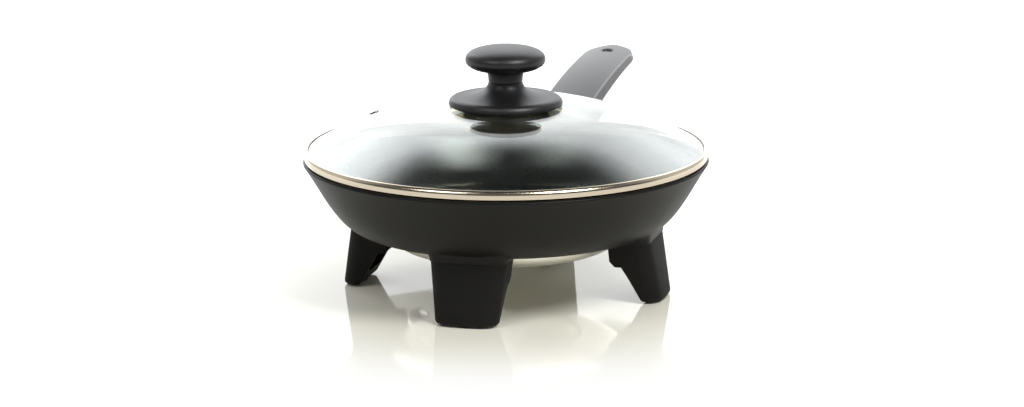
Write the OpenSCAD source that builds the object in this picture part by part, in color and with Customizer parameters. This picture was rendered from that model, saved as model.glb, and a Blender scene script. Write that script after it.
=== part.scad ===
// Electric skillet: a cast pan on four moulded legs, with one long handle, a plug-in heat control inlet
// and a loose domed glass lid. Millimetres, +Z up. The pan turns about the Z axis, the counter is z = 0
// and the handle points along +Y.

/* [Pan] */
// Outer radius of the lip
rim_r = 115; // [104:1:130]
// Height of the lip above the counter
rim_z = 76.5; // [72:0.5:92]
// Slope of the wall under the lip, in degrees from level
wall_slope = 56; // [54:1:62]
// Length over which the wall keeps the slope of the lip
wall_lead = 20; // [16:1:32]
// Length over which the wall leaves the flat underside
sole_lead = 17; // [8:1:18]
// How far the edge of the flat underside lies inside the lip
wall_run = 36; // [33:0.5:39]
// Height of the flat underside above the counter
sole_z = 37; // [34:1:44]
// Thickness of the side wall
wall_t = 3.4; // [3.2:0.1:4.5]
// Thickness of the floor
floor_t = 4.5; // [4:0.1:6]
// Width of the lip's flat top
lip_w = 3.4; // [2.4:0.1:4]
// Rounding of the lip's outer edge
lip_round = 1.2; // [0.4:0.1:2]
// Depth of the lid seat below the lip
seat_drop = 3.6; // [3:0.1:5]

/* [Heat plate] */
// How far the plate's edge lies inside the flat underside
plate_inset = 11; // [9.5:0.5:12]
// Depth of the ring that holds the element
plate_h = 11.5; // [11:0.5:15]
// Breadth of the ring's rounded side
ring_side_w = 17; // [15:0.5:18]
// Breadth of the ring's flat underside
ring_flat_w = 8; // [7:0.5:10]
// Thickness of the middle of the plate
plate_web_t = 6; // [4:0.5:8]
// Radius of the circle of fixing studs
stud_circle_r = 24; // [18:0.5:30]
// Number of fixing studs
stud_count = 3; // [3:1:5]
// Radius of a fixing stud
stud_r = 2; // [1.6:0.1:2.5]

/* [Element and inlet] */
// How far the element's loop lies inside the plate's edge
loop_inset = 12; // [11:0.5:14]
// Radius of the element's sheath
sheath_r = 3.3; // [2.8:0.1:3.6]
// Bend radius where the loop turns out to the inlet
bend_r = 12; // [10:0.5:13]
// Half the distance between the terminal pins
pin_half_gap = 18; // [16:0.5:20]
// Radius of a terminal pin
pin_r = 2.4; // [2.1:0.1:2.8]
// Length of a terminal pin past its insulator
pin_l = 24; // [20:1:28]
// Direction of the inlet about the pan's axis, in degrees from +X
inlet_az = 135; // [132:1:138]
// Bore radius of the probe sleeve
probe_r = 3.3; // [2.8:0.1:3.5]
// Wall of the probe sleeve
sleeve_t = 1.1; // [0.8:0.1:1.4]
// Depth of the probe sleeve
sleeve_depth = 50; // [40:1:54]
// Thickness of the guard's sheet
guard_t = 1.2; // [0.8:0.1:2]
// Half the width of the guard
guard_half_w = 31; // [28:0.5:34]

/* [Legs] */
// How far the middle of a foot lies outside the flat underside
foot_out = 8.5; // [8:0.5:11]
// Width of a leg at the top
leg_top_w = 44; // [40:1:46]
// Width of a leg at the bottom
leg_foot_w = 36; // [32:1:38]
// Radial depth of a leg at the top
leg_top_d = 24; // [23:0.5:25]
// Radial depth of a leg at the bottom
leg_foot_d = 12.5; // [12:0.5:15]
// How far a leg leans out between its top and its foot
leg_lean = 6; // [5:0.5:7]
// Depth of the bracket behind a leg, below the pan's pad
bracket_h = 14; // [12:0.5:16]
// Height of the cast pad between the pan and a leg
pad_h = 2; // [1:0.5:3]
// Height of a foot pad below its leg
foot_h = 1; // [0.6:0.1:2]
// Radius of a foot pad
foot_r = 4.5; // [3.5:0.1:5.5]
// Radius of a leg screw
leg_screw_r = 2; // [1.6:0.1:2.4]

/* [Handle] */
// Length of the handle
handle_l = 141.5; // [130:0.5:180]
// How far the handle's root stands off the lip
root_gap = 8; // [6:0.5:14]
// Rise of the handle's top from its root to its tip
handle_rise = 14; // [12:0.5:24]
// Height of the handle's root above the lip
root_rise = 2; // [-1:0.5:2]
// Half the width between the two upper edges
edge_half_w = 14.6; // [12.5:0.1:16]
// Crown of the top between the two upper edges
crown_h = 2.2; // [2:0.1:4]
// How far the sides lean out below the upper edges
side_lean = 1.4; // [0.6:0.1:2]
// Thickness at the root
root_t = 18; // [17:0.5:20]
// Thickness at the tip
tip_t = 8.5; // [7:0.5:11]
// Length of the rounded end
end_len = 24; // [14:1:26]
// Distance from the tip to the hanging hole
hole_inset = 17.5; // [12:0.5:18]
// Radius of the hanging hole
hole_r = 3.1; // [2.5:0.1:4]
// Radius of the dish round the hanging hole
dish_r = 6.5; // [5:0.1:8]

/* [Lid] */
// How far the edge of the glass lies inside the lip
glass_inset = 1.5; // [1.4:0.1:3.6]
// Slope of the dome's sides, in degrees
dome_side = 26.6; // [20:0.2:28]
// How far the shoulder, where the crown turns into the sides, lies inside the edge of the glass
shoulder_in = 51.5; // [44:0.5:58]
// How softly the shoulder turns: more is a rounder dome
shoulder_soft = 12.5; // [8:0.5:14]
// Thickness of the glass, measured upright
glass_t = 3.2; // [3:0.1:5]
// Gap between the pan's lip and the steel rim
rim_gap = 1.1; // [0.8:0.1:3]
// Thickness of the steel rim
band_t = 0.7; // [0.5:0.1:1]
// How far the steel rim laps over the glass
band_lap = 1; // [0.8:0.1:4]
// Play between the lid's skirt and the pan's lip
lid_play = 1; // [0.6:0.1:1.2]
// How far the steam vent lies inside the edge of the glass
vent_in = 31; // [14:1:40]
// Direction of the steam vent, in degrees from +X
vent_az = 171; // [0:1:360]
// Radius of the steam vent's hole
vent_r = 1.8; // [1.2:0.1:2.4]

/* [Knob] */
// Radius of the skirt
skirt_r = 32.3; // [28:0.1:36]
// Thickness of the skirt's edge
skirt_edge = 4.9; // [4.2:0.1:6]
// Gap between the skirt's foot and the glass
skirt_gap = 0.2; // [0.1:0.1:0.6]
// Radius of the neck
neck_r = 9.7; // [8.5:0.1:11]
// Height of the seam in the neck above the glass
neck_z = 13.3; // [12.5:0.1:17]
// Radius of the cap
cap_r = 22.7; // [19:0.1:26]
// Height of the cap's widest line above the seam
cap_drop = 12.4; // [10.5:0.1:14]
// Height of the cap's crown above its widest line
cap_crown = 7.7; // [6:0.1:10]
// Depth of the cap's rounded underside
cap_under = 5.8; // [5:0.1:8]
// Radius of the knob's screw
knob_screw_r = 2.4; // [2:0.1:2.8]

/* [Hidden] */
$fn = 64;
fit = 0.05;         // press and thread clearance
slip = 0.2;         // clearance of parts that are slid together
curve_steps = 14;
dome_steps = 22;
eps = 0.1;          // overlap of a cut past a face

sole_r = rim_r - wall_run;
seat_z = rim_z - seat_drop;
leg_z = sole_z - pad_h;
plate_r = sole_r - plate_inset;
ring_flat_r = plate_r - ring_side_w;
ring_in_r = ring_flat_r - ring_flat_w;
ring_z = sole_z - plate_h;
loop_r = plate_r - loop_inset;
loop_z = sole_z - plate_h / 2;
web_z = sole_z - plate_web_t;
leg_az = [0, 90, 180, 270];

// The inlet: x runs out from the pan's axis
sheath_end_x = plate_r + 7;
insulator_l = 4;
insulator_r = sheath_r + 0.9;
pin_root_r = pin_r - 0.4;
pin_root_l = 6;
pin_tip_x = sheath_end_x + insulator_l + pin_l;
sleeve_r = probe_r + sleeve_t;
sleeve_mouth_x = plate_r + 19;
rib_r = plate_h / 2;
guard_in_x = ring_in_r + 2;
guard_cheek_x = sole_r - 7;
guard_out_x = pin_tip_x + 2;
guard_flange_w = 16;
guard_top_z = sole_z - 0.3;
guard_screw_x = ring_flat_r - 3;
guard_screw_y = 9;
guard_screw_r = 1.7;
nut_h = 3.2;

// A leg: x runs out from the pan's axis
foot_rho = sole_r + foot_out;
leg_foot_in = foot_rho - leg_foot_d / 2;
leg_top_out = foot_rho + leg_foot_d / 2 - leg_lean;
leg_top_in = leg_top_out - leg_top_d;
leg_step_z = leg_z - bracket_h;
leg_screw_x = plate_r + 4.5;
leg_screw_head_r = 2 * leg_screw_r;
leg_screw_head_h = 2.4;
leg_screw_seat_z = leg_step_z + 3;
leg_corner = 6.5;
leg_edge = 3;
foot_peg_r = 2.5;
foot_peg_l = 5;

// The handle
handle_steps = 30;
section_steps = 8;
side_root_h = 7;
side_tip_h = 3.5;
root_y = rim_r + root_gap;
root_z = rim_z + root_rise;
tip_y = root_y + handle_l;
tip_z = root_z + handle_rise;
root_tilt = atan(2 * handle_rise / handle_l);
tenon_half_w = 7.5;
tenon_h = 7;
tenon_l = 28;
tenon_drop = (root_t + tenon_h) / 2;
handle_screw_y = tenon_l / 2;
handle_screw_seat = 1.5;
handle_screw_r = 2.2;
handle_screw_head_r = 4;
handle_screw_head_h = 2.6;
hole_y = tip_y - hole_inset;
hole_dish_h = 1.6;

// The lid
glass_r = rim_r - glass_inset;
glass_edge_z = rim_z + rim_gap + band_t + glass_t;
shoulder_r = glass_r - shoulder_in;
glass_z = glass_edge_z + dome_fall(glass_r) - dome_fall(0);
glass_hole_r = knob_screw_r + 2.6;
band_r = glass_r + slip + band_t;
skirt_out_r = rim_r - lip_w - lid_play;
vent_rho = glass_r - vent_in;
vent_tube_r = vent_r + 0.7;
vent_flange_r = vent_r + 2.2;
vent_flange_t = 0.7;

// The knob, above the glass
gasket_r = 14;
gasket_t = 1.2;
washer_r = 9;
washer_t = 1.2;
screw_head_r = 4.5;
screw_head_h = 3;
insert_r = knob_screw_r + 1.8;
insert_l = 11;
neck_fillet = 1.7;
gasket_z = dome(glass_hole_r);
skirt_round = 0.765 * skirt_edge;
foot_round = skirt_edge - skirt_round;
skirt_foot_r = skirt_r - foot_round;
skirt_z = dome(skirt_foot_r) + skirt_gap;
seam_z = glass_z + neck_z;
cap_z = seam_z + cap_drop;
cap_top_z = cap_z + cap_crown;
screw_tip_z = seam_z + insert_l;

coat = [0.16, 0.16, 0.16];
phenolic = [0.08, 0.08, 0.08];
steel = [0.75, 0.75, 0.74];

// Curves

function arc(c, r, a0, a1, n = curve_steps) =
    [for (i = [0:n]) let (a = a0 + (a1 - a0) * i / n) c + r * [cos(a), sin(a)]];

function oval(c, a, b, a0, a1, p = 2, n = curve_steps) =
    [for (i = [0:n]) let (t = a0 + (a1 - a0) * i / n)
        c + [a * sign(cos(t)) * pow(abs(cos(t)), 2 / p), b * sign(sin(t)) * pow(abs(sin(t)), 2 / p)]];

function bezier(p, t) =
    pow(1 - t, 3) * p[0] + 3 * t * pow(1 - t, 2) * p[1] + 3 * t * t * (1 - t) * p[2] + pow(t, 3) * p[3];

function bezier_way(p, t) =
    let (d = 3 * pow(1 - t, 2) * (p[1] - p[0]) + 6 * t * (1 - t) * (p[2] - p[1]) + 3 * t * t * (p[3] - p[2]))
    d / norm(d);

// Pan

wall_top = [rim_r, rim_z - lip_round];
wall_poles = [
    [sole_r, sole_z],
    [sole_r + sole_lead, sole_z],
    wall_top - wall_lead * [cos(wall_slope), sin(wall_slope)],
    wall_top
];

function wall_thickness(t) = floor_t + (wall_t - floor_t) * t;
function wall_out(t) = bezier(wall_poles, t);
function wall_in(t) =
    let (d = bezier_way(wall_poles, t)) wall_out(t) + wall_thickness(t) * [-d[1], d[0]];

module pan_outer() {
    wall = [for (i = [0:curve_steps]) wall_out(i / curve_steps)];
    lip = arc([rim_r - lip_round, rim_z - lip_round], lip_round, 0, 90, 4);
    rotate_extrude()
        polygon(concat([[0, sole_z]], wall, [for (i = [1:4]) lip[i]], [[0, rim_z]]));
}

module pan_cavity() {
    wall = [for (i = [0:curve_steps]) wall_in(i / curve_steps)];
    top = wall[curve_steps][1];
    rotate_extrude()
        polygon(concat([[0, sole_z + floor_t]], wall, [[0, top]]));
    translate([0, 0, seat_z])
        cylinder(r = rim_r - lip_w, h = rim_z - seat_z + lip_w);
}

module pad_outline(x0, x1, half_w, r) {
    translate([x0 + r, -half_w])
        square([x1 - x0 - 2 * r, 2 * half_w]);
    translate([x0, r - half_w])
        square([x1 - x0, 2 * (half_w - r)]);
    for (x = [x0 + r, x1 - r], y = [r - half_w, half_w - r])
        translate([x, y])
            circle(r);
}

// A slice of a tapered moulding, square to the Z axis
module slice(z, x0, x1, half_w, r) {
    translate([0, 0, z])
        linear_extrude(0.01)
            pad_outline(x0, x1, half_w, r, $fn = 28);
}

// Cast pad that carries a leg, flared into the wall of the bowl and cut back round the heat plate
module leg_pad() {
    flare = 3;
    difference() {
        hull() {
            slice(leg_z, leg_top_in, leg_top_out, leg_top_w / 2, leg_corner);
            slice(leg_z + 13, leg_top_in, leg_top_out + flare, leg_top_w / 2 + flare, leg_corner);
        }
        translate([0, 0, leg_z - 1])
            cylinder(r = plate_r + 2 * slip, h = pad_h + 1);
    }
}

// The handle's own frame: y runs along it from its root, z = 0 is its top there
module at_handle() {
    translate([0, root_y, root_z])
        rotate([root_tilt, 0, 0])
            children();
}

// Cast lug that carries the handle: a shoulder for its root and a tenon inside it
module handle_lug() {
    shoulder_h = root_t - 6;
    shoulder_z = root_z - root_t + 1.5;
    flare = 6;
    hull() {
        translate([-edge_half_w, root_y - 2, shoulder_z])
            cube([2 * edge_half_w, 2, shoulder_h]);
        translate([-edge_half_w - flare, rim_r - 17, shoulder_z - flare])
            cube([2 * (edge_half_w + flare), 2, shoulder_h + flare / 2]);
    }
    at_handle()
        translate([-tenon_half_w, -3, -tenon_drop])
            cube([2 * tenon_half_w, tenon_l - slip + 3, tenon_h]);
}

module pan_body() color(coat) difference() {
    union() {
        pan_outer();
        for (a = leg_az)
            rotate(a) leg_pad();
        handle_lug();
        for (i = [0:stud_count - 1])
            rotate(90 + 360 * i / stud_count)
                translate([stud_circle_r, 0, web_z - nut_h - 0.6])
                    cylinder(r = stud_r, h = plate_web_t + nut_h + 0.6 + eps);
    }
    pan_cavity();
    for (a = leg_az)
        rotate(a)
            translate([leg_screw_x, 0, leg_z - eps])
                cylinder(r = leg_screw_r + fit, h = pad_h + floor_t - 1.5 + eps);
    at_handle()
        translate([0, handle_screw_y, -tenon_drop - eps])
            cylinder(r = handle_screw_r + fit, h = tenon_h + 2 * eps);
}

// Heat plate and element

module along_inlet(x, y, z) {
    rotate(inlet_az)
        translate([x, y, z])
            rotate([0, 90, 0])
                children();
}

// The element's path: most of a loop, two bends and two straight ends. grow widens it for its channel.
// The bends are drawn a little fuller than the rest and lap over it
bend_x = sqrt(pow(loop_r + bend_r, 2) - pow(pin_half_gap + bend_r, 2));
bend_y = pin_half_gap + bend_r;
loop_gap = atan2(bend_y, bend_x);
bend_full = 0.04;
bend_lap = 0.3;

module sheath(grow) {
    r = sheath_r + grow;
    rotate(inlet_az) translate([0, 0, loop_z]) {
        rotate(loop_gap)
            rotate_extrude(angle = 360 - 2 * loop_gap)
                translate([loop_r, 0]) circle(r);
        for (s = [-1, 1])
            translate([bend_x, s * bend_y, 0])
                rotate((s > 0 ? 180 + loop_gap : 90) - bend_lap)
                    rotate_extrude(angle = 90 - loop_gap + 2 * bend_lap)
                        translate([bend_r, 0]) circle(r + bend_full);
        for (s = [-1, 1])
            translate([bend_x, s * pin_half_gap, 0])
                rotate([0, 90, 0]) cylinder(r = r, h = sheath_end_x - bend_x);
    }
}

// Outline of the plate's ring, from its edge down to its flat underside
function ring_side(gap) = oval([ring_flat_r, sole_z], ring_side_w + gap, plate_h + gap, 0, -90);

module heat_plate() color(steel) {
    hollow = oval([ring_in_r, web_z], -4, ring_z - web_z, 90, 0);
    difference() {
        union() {
            rotate_extrude()
                polygon(concat([[0, sole_z]], ring_side(0), hollow, [[0, web_z]]));
            along_inlet(plate_r - 35, 0, loop_z)
                cylinder(r = rib_r, h = 26);
        }
        sheath(fit);
        along_inlet(sleeve_mouth_x - sleeve_depth, 0, loop_z)
            cylinder(r = sleeve_r + fit, h = sleeve_depth);
        for (i = [0:stud_count - 1])
            rotate(90 + 360 * i / stud_count)
                translate([stud_circle_r, 0, web_z - eps])
                    cylinder(r = stud_r + slip, h = plate_web_t + 2 * eps);
        for (s = [-1, 1])
            rotate(inlet_az)
                translate([guard_screw_x, s * guard_screw_y, ring_z - eps])
                    cylinder(r = guard_screw_r + fit, h = 5);
    }
}

module heating_element() color([0.4, 0.4, 0.42]) difference() {
    sheath(0);
    for (s = [-1, 1])
        along_inlet(sheath_end_x - pin_root_l, s * pin_half_gap, loop_z)
            cylinder(r = pin_root_r + fit, h = pin_root_l + eps);
}

module terminal_pins() color(steel)
    for (s = [-1, 1])
        along_inlet(sheath_end_x - pin_root_l, s * pin_half_gap, loop_z) {
            root_l = pin_root_l + insulator_l;
            cylinder(r = pin_root_r, h = root_l);
            translate([0, 0, root_l])
                cylinder(r = pin_r, h = pin_l - pin_r);
            translate([0, 0, root_l + pin_l - pin_r])
                cylinder(r1 = pin_r, r2 = pin_r / 2, h = pin_r);
        }

module pin_insulators() color([0.93, 0.92, 0.88])
    for (s = [-1, 1])
        along_inlet(sheath_end_x, s * pin_half_gap, loop_z)
            difference() {
                cylinder(r1 = insulator_r, r2 = insulator_r - 0.8, h = insulator_l);
                translate([0, 0, -eps])
                    cylinder(r = pin_root_r + fit, h = insulator_l + 2 * eps);
            }

module probe_sleeve() color(steel)
    along_inlet(sleeve_mouth_x - sleeve_depth, 0, loop_z)
        difference() {
            union() {
                cylinder(r = sleeve_r, h = sleeve_depth);
                translate([0, 0, sleeve_depth - 1.5])
                    cylinder(r = sleeve_r + 0.8, h = 1.5);
            }
            translate([0, 0, 1.5])
                cylinder(r = probe_r, h = sleeve_depth);
        }

// Bent sheet below the pins, open above and at its outer end, with a flange that is screwed to the ring
module socket_guard() color(steel) {
    cheek_l = guard_out_x - guard_cheek_x;
    rotate(inlet_az) difference() {
        union() {
            translate([0, 0, ring_z - guard_t])
                linear_extrude(guard_t) {
                    translate([guard_in_x, -guard_flange_w])
                        square([guard_cheek_x - guard_in_x, 2 * guard_flange_w]);
                    pad_outline(guard_cheek_x - 4, guard_out_x, guard_half_w, 3);
                }
            for (s = [-1, 1])
                translate([guard_cheek_x, s * (guard_half_w - guard_t / 2) + guard_t / 2, ring_z - guard_t])
                    rotate([90, 0, 0])
                        linear_extrude(guard_t)
                            cheek_outline(cheek_l - 3, guard_top_z - ring_z + guard_t);
        }
        for (s = [-1, 1])
            translate([guard_screw_x, s * guard_screw_y, ring_z - guard_t - eps])
                cylinder(r = guard_screw_r + slip, h = guard_t + 2 * eps);
    }
}

module cheek_outline(l, h) {
    r = 6;
    square([l - r, h]);
    square([l, h - r]);
    translate([l - r, h - r]) circle(r);
}

module guard_screws() color(steel)
    rotate(inlet_az)
        for (s = [-1, 1])
            translate([guard_screw_x, s * guard_screw_y, ring_z - guard_t - 1.8]) {
                cylinder(r1 = 2.4, r2 = 3.1, h = 1.8);
                cylinder(r = guard_screw_r, h = 1.8 + guard_t + 4);
            }

module plate_nuts() color(steel)
    for (i = [0:stud_count - 1])
        rotate(90 + 360 * i / stud_count)
            translate([stud_circle_r, 0, web_z - nut_h])
                difference() {
                    cylinder(r = stud_r * 2, h = nut_h, $fn = 6);
                    translate([0, 0, -eps])
                        cylinder(r = stud_r + fit, h = nut_h + 2 * eps);
                }

// Legs: a tapered shell with a bracket behind it, scooped to clear the heat plate and hollowed from inside

function leg_half_w(z) =
    (leg_foot_w + (leg_top_w - leg_foot_w) * (z - foot_h) / (leg_z - foot_h)) / 2;

module leg_shell() {
    out = leg_foot_in + leg_foot_d;
    hull() {
        slice(leg_z - 0.01, leg_top_in, leg_top_out, leg_top_w / 2, leg_corner);
        slice(foot_h + leg_edge, leg_foot_in, out, leg_half_w(foot_h + leg_edge), leg_corner - 1);
        slice(foot_h + leg_edge / 3, leg_foot_in + 1, out - 1, leg_foot_w / 2 - 1, leg_corner - 2);
        slice(foot_h, leg_foot_in + leg_edge, out - leg_edge, leg_foot_w / 2 - leg_edge, leg_corner - leg_edge);
    }
}

module leg_bracket() {
    inset = 0.5;
    out = leg_top_in + 14;
    hull() {
        slice(leg_z - 0.01, leg_top_in, out, leg_top_w / 2 - inset, 4);
        slice(leg_step_z + 2.5, leg_top_in + 1, out, leg_half_w(leg_step_z + 2.5) - inset, 3);
        slice(leg_step_z, leg_top_in + 3, out - 5, leg_half_w(leg_step_z) - 2 * inset, 2);
    }
}

module leg(az) color(phenolic) rotate(az) difference() {
    union() {
        leg_shell();
        leg_bracket();
    }
    rotate_extrude()
        polygon(concat([[0, sole_z]], ring_side(2 * slip), [[0, ring_z - 2 * slip]]));
    translate([leg_foot_in - 12, -leg_foot_w / 2 + 5, foot_h + foot_peg_l + 2])
        cube([leg_foot_d + 6, leg_foot_w - 10, leg_step_z - foot_h - foot_peg_l - 4]);
    translate([leg_screw_x, 0, foot_h])
        cylinder(r = leg_screw_r + slip, h = leg_z);
    translate([leg_screw_x, 0, foot_h])
        cylinder(r = leg_screw_head_r + slip, h = leg_screw_seat_z - foot_h);
    translate([foot_rho, 0, foot_h - eps])
        cylinder(r = foot_peg_r + fit, h = foot_peg_l + eps);
}

module leg_right() leg(leg_az[0]);
module leg_rear() leg(leg_az[1]);
module leg_left() leg(leg_az[2]);
module leg_front() leg(leg_az[3]);

module leg_screws() color(steel)
    for (a = leg_az)
        rotate(a)
            translate([leg_screw_x, 0, leg_screw_seat_z - leg_screw_head_h]) {
                cylinder(r1 = leg_screw_head_r - 0.8, r2 = leg_screw_head_r, h = leg_screw_head_h);
                cylinder(r = leg_screw_r, h = leg_z - leg_screw_seat_z + leg_screw_head_h + pad_h + floor_t - 2);
            }

module foot_pads() color([0.12, 0.12, 0.12])
    for (a = leg_az)
        rotate(a)
            translate([foot_rho, 0, 0]) {
                cylinder(r1 = foot_r - 0.5, r2 = foot_r, h = foot_h);
                cylinder(r = foot_peg_r, h = foot_h + foot_peg_l - 0.5);
            }

// Handle: an arched paddle with a crowned top, two sharp upper edges, leaning sides and a rounded belly

function handle_t(y) = (y - root_y) / (tip_y - root_y);
function end_t(y) = max(0, (y - tip_y + end_len) / end_len);
function end_scale(y) = pow(max(1 - pow(end_t(y), 3), 0), 1 / 3);
function handle_top(y) = tip_z - (tip_z - root_z) * pow(1 - handle_t(y), 2);
function blend(a, b, y) = a + (b - a) * handle_t(y);

// Stations bunch up towards the tip, where the outline turns
function station(i) =
    let (t = i / handle_steps) root_y + (tip_y - 0.25 - root_y) * (1 - pow(1 - t, 1.7));

function handle_section(y) =
    let (
        k = max(end_scale(y), 0.12),
        w = edge_half_w * k,
        crown = crown_h * k,
        side = blend(side_root_h, side_tip_h, y) * k,
        lean = side_lean * k,
        belly = blend(root_t, tip_t, y) * (0.45 + 0.55 * k) - crown - side,
        z = handle_top(y)
    )
    concat(
        [for (i = [-section_steps:section_steps])
            let (s = i / section_steps) [w * s, y, z - crown * s * s]],
        [for (i = [0:section_steps])
            let (a = 180 * i / section_steps)
            [(w + lean) * cos(a), y, z - crown - side - belly * sin(a)]]
    );

function loft_faces(rings, n) = concat(
    [[for (j = [0:n - 1]) j]],
    [for (i = [0:rings - 2], j = [0:n - 1])
        let (a = i * n + j, b = i * n + (j + 1) % n) [a, a + n, b + n]],
    [for (i = [0:rings - 2], j = [0:n - 1])
        let (a = i * n + j, b = i * n + (j + 1) % n) [a, b + n, b]],
    [[for (j = [n - 1:-1:0]) (rings - 1) * n + j]]
);

module handle_form() {
    sections = [for (i = [0:handle_steps]) handle_section(station(i))];
    polyhedron(
        points = [for (s = sections) each s],
        faces = loft_faces(handle_steps + 1, len(sections[0])));
}

module handle() color([0.2, 0.2, 0.2]) difference() {
    low = -root_t - 5;
    handle_form();
    at_handle() {
        translate([-tenon_half_w - slip, -5, -tenon_drop - slip])
            cube([2 * (tenon_half_w + slip), tenon_l + 5, tenon_h + 2 * slip]);
        translate([0, handle_screw_y, low])
            cylinder(r = handle_screw_r + slip, h = -tenon_drop - low);
        translate([0, handle_screw_y, low])
            cylinder(r = handle_screw_head_r + slip, h = -tenon_drop - handle_screw_seat - low);
    }
    translate([0, hole_y, tip_z - 3 * tip_t])
        cylinder(r = hole_r, h = 4 * tip_t);
    translate([0, hole_y, handle_top(hole_y) - hole_dish_h])
        cylinder(r1 = hole_r, r2 = 2 * dish_r - hole_r, h = 2 * hole_dish_h);
}

module handle_screw() color(steel)
    at_handle()
        translate([0, handle_screw_y, -tenon_drop - handle_screw_seat - handle_screw_head_h]) {
            cylinder(r1 = handle_screw_head_r - 0.8, r2 = handle_screw_head_r, h = handle_screw_head_h);
            cylinder(r = handle_screw_r, h = handle_screw_head_h + handle_screw_seat + tenon_h - 1);
        }

// Lid

function dome_fall(r) = tan(dome_side) * shoulder_soft * ln(1 + exp((r - shoulder_r) / shoulder_soft));
function dome(r) = glass_z + dome_fall(0) - dome_fall(r);
function dome_slope(r) = atan(tan(dome_side) / (1 + exp((shoulder_r - r) / shoulder_soft)));
function dome_line(r0, r1, lift, n) =
    [for (i = [0:n]) let (r = r0 + (r1 - r0) * i / n) [r, dome(r) + lift]];

washer_z = dome(washer_r) - glass_t - washer_t;

module at_vent() {
    rotate(vent_az)
        translate([vent_rho, 0, dome(vent_rho)])
            rotate([0, dome_slope(vent_rho), 0])
                children();
}

module lid_glass() color([0.8, 0.88, 0.84, 0.4]) difference() {
    rotate_extrude()
        polygon(concat(
            dome_line(glass_hole_r, glass_r, 0, dome_steps),
            dome_line(glass_r, glass_hole_r, -glass_t, dome_steps)));
    at_vent()
        translate([0, 0, -3 * glass_t])
            cylinder(r = vent_tube_r + slip, h = 6 * glass_t);
}

// Rolled band: a lap over the glass, an upright face, a flange below the glass and a skirt that stands on
// the seat inside the pan's lip
module lid_rim() color(steel) {
    low_z = rim_z + rim_gap;
    lap = dome_line(glass_r - band_lap, glass_r, 0.15, 3);
    rotate_extrude() {
        polygon(concat(
            [[band_r, low_z]],
            arc([band_r - band_t, glass_edge_z - 0.4 + band_t], band_t, 0, 60, 4),
            [for (i = [3:-1:0]) lap[i] + [0, band_t]],
            lap,
            [[glass_r + slip, glass_edge_z], [glass_r + slip, low_z]]));
        translate([skirt_out_r - band_t, low_z])
            square([band_r - skirt_out_r + band_t, band_t]);
        translate([skirt_out_r - band_t, seat_z])
            square([band_t, low_z - seat_z + band_t]);
    }
}

module steam_vent() color(steel) at_vent() difference() {
    union() {
        translate([0, 0, 0.2])
            cylinder(r1 = vent_flange_r, r2 = vent_flange_r - 0.5, h = vent_flange_t);
        translate([0, 0, -glass_t])
            cylinder(r = vent_tube_r, h = glass_t + 0.2 + vent_flange_t / 2);
        translate([0, 0, -glass_t - 0.4])
            cylinder(r1 = vent_tube_r + 0.8, r2 = vent_tube_r + 1.2, h = 0.5);
    }
    translate([0, 0, -2 * glass_t])
        cylinder(r = vent_r, h = 4 * glass_t);
}

// Knob: a flared skirt, slightly hollow over the glass, and a mushroom cap, held by one screw from below

module knob_base() color(phenolic) difference() {
    edge_z = skirt_z + skirt_edge;
    flare_r = skirt_r - skirt_round;
    rotate_extrude()
        polygon(concat(
            [[0, glass_z + skirt_gap], [gasket_r, glass_z + skirt_gap]],
            arc([skirt_foot_r, skirt_z + foot_round], foot_round, -90, 0, 3),
            arc([flare_r, skirt_z + foot_round], skirt_round, 10, 80, 7),
            oval([flare_r, seam_z], -(flare_r - neck_r), edge_z - seam_z, 90, 0),
            [[0, seam_z]]));
    translate([0, 0, skirt_z - eps])
        cylinder(r = gasket_r + slip, h = gasket_z + gasket_t - skirt_z + eps);
    translate([0, 0, skirt_z - eps])
        cylinder(r = knob_screw_r + slip, h = seam_z - skirt_z + 2 * eps);
}

module knob_cap() color(phenolic) difference() {
    fillet_h = cap_drop - cap_under;
    stem_r = neck_r + neck_fillet;
    rotate_extrude()
        polygon(concat(
            [[0, seam_z]],
            oval([stem_r, seam_z], -neck_fillet, fillet_h, 0, 90, 2, 6),
            oval([stem_r, cap_z], cap_r - stem_r, cap_under, -80, 0),
            [for (p = oval([0, cap_z], cap_r, cap_crown, 6, 84, 2.5)) p],
            [[0, cap_top_z]]));
    translate([0, 0, seam_z - eps])
        cylinder(r = insert_r + fit, h = insert_l + eps);
}

module knob_insert() color([0.78, 0.62, 0.3]) difference() {
    translate([0, 0, seam_z])
        cylinder(r = insert_r, h = insert_l);
    translate([0, 0, seam_z - eps])
        cylinder(r = knob_screw_r + fit, h = insert_l + 2 * eps);
}

module knob_gasket() color([0.1, 0.1, 0.1]) difference() {
    translate([0, 0, gasket_z])
        cylinder(r = gasket_r, h = gasket_t);
    translate([0, 0, gasket_z - eps])
        cylinder(r = knob_screw_r + slip, h = gasket_t + 2 * eps);
}

module knob_washer() color(steel) difference() {
    translate([0, 0, washer_z])
        cylinder(r = washer_r, h = washer_t);
    translate([0, 0, washer_z - eps])
        cylinder(r = knob_screw_r + slip, h = washer_t + 2 * eps);
}

module knob_screw() color(steel) {
    head_z = washer_z - screw_head_h;
    translate([0, 0, head_z]) {
        cylinder(r1 = screw_head_r - 1, r2 = screw_head_r, h = screw_head_h);
        cylinder(r = knob_screw_r, h = screw_tip_z - 1 - head_z);
    }
}

pan_body();
heat_plate();
heating_element();
terminal_pins();
pin_insulators();
probe_sleeve();
socket_guard();
guard_screws();
plate_nuts();
leg_right();
leg_rear();
leg_left();
leg_front();
leg_screws();
foot_pads();
handle();
handle_screw();
lid_glass();
lid_rim();
steam_vent();
knob_base();
knob_cap();
knob_insert();
knob_gasket();
knob_washer();
knob_screw();
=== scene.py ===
import math

import bmesh
import bpy
from mathutils import Matrix, Quaternion, Vector


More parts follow.
